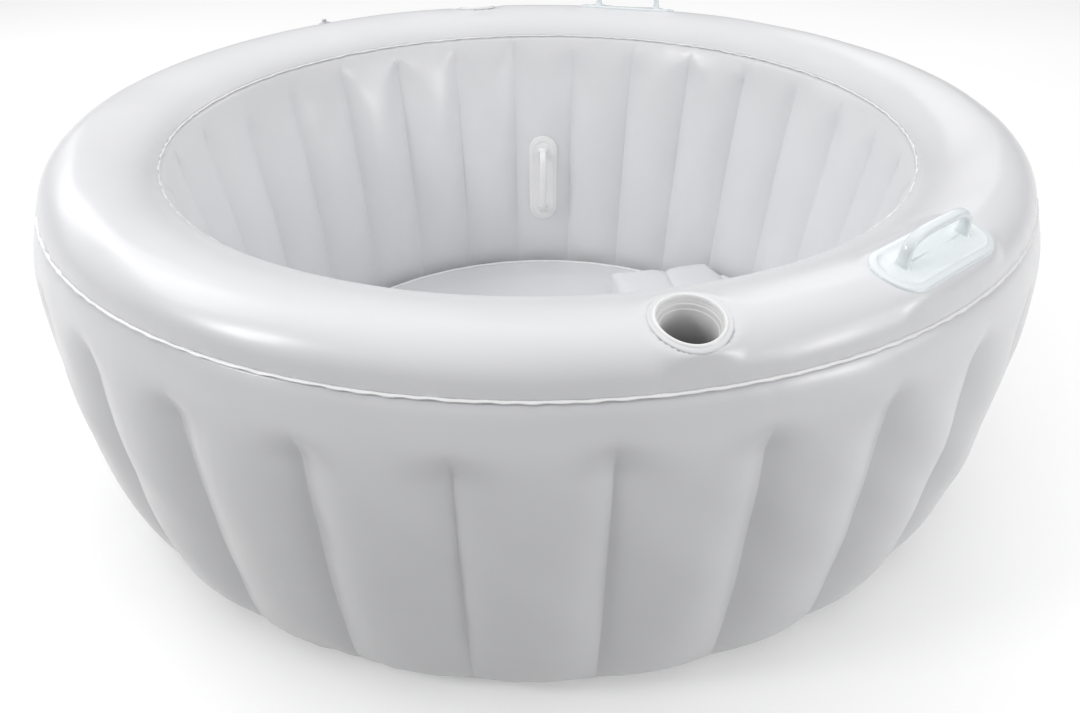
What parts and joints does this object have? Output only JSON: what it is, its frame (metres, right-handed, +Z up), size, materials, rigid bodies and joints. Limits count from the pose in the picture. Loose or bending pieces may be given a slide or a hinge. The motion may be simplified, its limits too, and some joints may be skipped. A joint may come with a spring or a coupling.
{
  "type": "inflatable soaking tub",
  "caption": "Free-standing oval inflatable soaking tub with a ribbed double wall, padded rim, air floor, low seat, cup holders and grab handles.",
  "frame": {"origin": "centre of the footprint, on the ground", "axes": "+X along the long axis towards the seat end, +Z up"},
  "size_m": [1.7852, 1.7252, 0.6906],
  "materials": {
    "pale_vinyl": "smooth satin vinyl sheet, near white",
    "inner_vinyl": "plain vinyl sheet, sealed inside",
    "handle_vinyl": "glossy moulded vinyl, slightly bluish white",
    "valve_plastic": "moulded translucent white vinyl"
  },
  "bodies": {
    "tub": {"rim_skin": "pale_vinyl", "outer_wall_skin": "pale_vinyl", "inner_wall_skin": "pale_vinyl", "base_sheet": "pale_vinyl", "outer_seam_welt": "pale_vinyl", "inner_seam_welt": "pale_vinyl", "base_seam_welt": "pale_vinyl", "floor_cushion": "pale_vinyl", "seat_cushion": "pale_vinyl", "cup_holder_front": "pale_vinyl", "cup_holder_back": "pale_vinyl", "wall_web_01": "inner_vinyl", "wall_web_02": "inner_vinyl", "wall_web_03": "inner_vinyl", "wall_web_04": "inner_vinyl", "wall_web_05": "inner_vinyl", "wall_web_06": "inner_vinyl", "wall_web_07": "inner_vinyl", "wall_web_08": "inner_vinyl", "wall_web_09": "inner_vinyl", "wall_web_10": "inner_vinyl", "wall_web_11": "inner_vinyl", "wall_web_12": "inner_vinyl", "wall_web_13": "inner_vinyl", "wall_web_14": "inner_vinyl", "wall_web_15": "inner_vinyl", "wall_web_16": "inner_vinyl", "wall_web_17": "inner_vinyl", "wall_web_18": "inner_vinyl", "wall_web_19": "inner_vinyl", "wall_web_20": "inner_vinyl", "wall_web_21": "inner_vinyl", "wall_web_22": "inner_vinyl", "wall_web_23": "inner_vinyl", "wall_web_24": "inner_vinyl", "wall_web_25": "inner_vinyl", "wall_web_26": "inner_vinyl", "wall_web_27": "inner_vinyl", "wall_web_28": "inner_vinyl", "rim_diaphragm": "inner_vinyl", "rim_handle_front_patch": "handle_vinyl", "rim_handle_front_grip": "handle_vinyl", "rim_handle_back_patch": "handle_vinyl", "rim_handle_back_grip": "handle_vinyl", "wall_handle_back_patch": "handle_vinyl", "wall_handle_back_grip": "handle_vinyl", "wall_handle_front_patch": "handle_vinyl", "wall_handle_front_grip": "handle_vinyl", "rim_valve_base": "valve_plastic", "wall_valve_base": "valve_plastic", "floor_valve_base": "valve_plastic", "seat_valve_base": "valve_plastic"},
    "rim_valve_insert": {"rim_valve_insert": "valve_plastic"},
    "rim_valve_cap": {"rim_valve_cap": "valve_plastic"},
    "wall_valve_insert": {"wall_valve_insert": "valve_plastic"},
    "wall_valve_cap": {"wall_valve_cap": "valve_plastic"},
    "floor_valve_stopper": {"floor_valve_stopper": "valve_plastic"},
    "seat_valve_stopper": {"seat_valve_stopper": "valve_plastic"}
  },
  "joints": [
    {"name": "rim_valve_unscrew", "type": "hinge", "parent": "tub", "child": "rim_valve_insert", "pos_m": [-0.37438, 0.74063, 0.6111], "axis": [-0.3708, 0.7602, 0.5334], "range_deg": [0, 540]},
    {"name": "rim_valve_cap_flip", "type": "hinge", "parent": "rim_valve_insert", "child": "rim_valve_cap", "pos_m": [-0.37357, 0.73896, 0.63653], "axis": [0.8988, 0.4384, 0], "range_deg": [0, 150]},
    {"name": "wall_valve_unscrew", "type": "hinge", "parent": "tub", "child": "wall_valve_insert", "pos_m": [-0.19559, 0.84283, 0.33], "axis": [-0.2188, 0.9758, 0], "range_deg": [0, 540]},
    {"name": "wall_valve_cap_flip", "type": "hinge", "parent": "wall_valve_insert", "child": "wall_valve_cap", "pos_m": [-0.19822, 0.85454, 0.3525], "axis": [0.9758, 0.2188, 0], "range_deg": [0, 150]},
    {"name": "floor_valve_flip", "type": "hinge", "parent": "tub", "child": "floor_valve_stopper", "pos_m": [-0.0865, -0.44, 0.0376], "axis": [0, 1, 0], "range_deg": [0, 150]},
    {"name": "seat_valve_flip", "type": "hinge", "parent": "tub", "child": "seat_valve_stopper", "pos_m": [0.36, -0.3076, 0.0825], "axis": [-1, 0, 0], "range_deg": [0, 150]}
  ]
}
